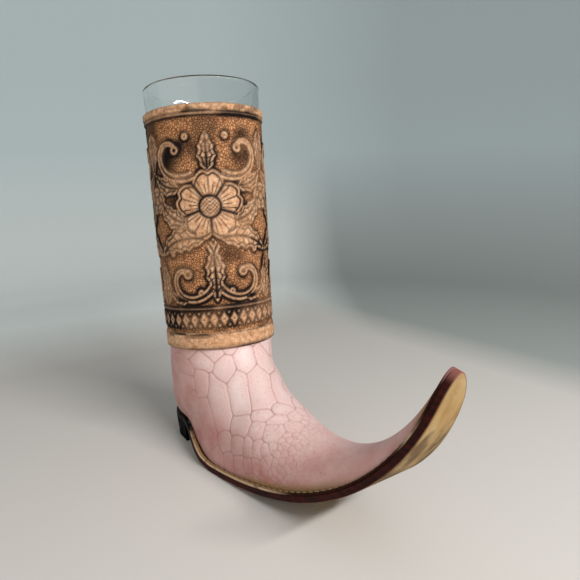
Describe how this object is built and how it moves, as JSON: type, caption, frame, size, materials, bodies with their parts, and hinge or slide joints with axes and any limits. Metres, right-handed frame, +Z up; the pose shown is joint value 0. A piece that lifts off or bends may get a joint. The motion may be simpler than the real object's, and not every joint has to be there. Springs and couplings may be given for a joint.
{
  "type": "boot shot glass",
  "caption": "Tall clear shot glass that stands in a small tooled-leather boot with a scaled pink vamp and a pointed toe curled right up, and lifts out of it.",
  "frame": {"origin": "middle of the heel's ground face", "axes": "+X towards the toe, +Y towards the boot's left side, +Z up"},
  "size_m": [0.1526, 0.0478, 0.1458],
  "materials": {
    "clear_glass": "clear, polished",
    "tooled_leather": "tooled and antiqued, satin",
    "pink_leather": "scale-embossed, matt",
    "welt_leather": "waxed edge",
    "sole_leather": "natural tread, dyed edge",
    "black_heel": "stacked and blacked",
    "black_rubber": "matt",
    "core_wood": "sanded",
    "seat_wood": "turned",
    "insole_board": "matt",
    "waxed_thread": "waxed",
    "tack_steel": "bright"
  },
  "bodies": {
    "boot": {"shaft": "tooled_leather", "shaft_stitches": "waxed_thread", "foot_upper": "pink_leather", "heel_seam_stitches": "waxed_thread", "glass_seat": "seat_wood", "foot_core": "core_wood", "insole": "insole_board", "welt": "welt_leather", "welt_stitches": "waxed_thread", "outsole": "sole_leather", "heel_block": "black_heel", "heel_cap": "black_rubber", "heel_tacks": "tack_steel"},
    "glass": {"tumbler": "clear_glass"}
  },
  "joints": [
    {"name": "glass_lift", "type": "slide", "parent": "boot", "child": "glass", "axis": [-0.0958, 0, 0.9954], "range_m": [0, 0.1]}
  ]
}
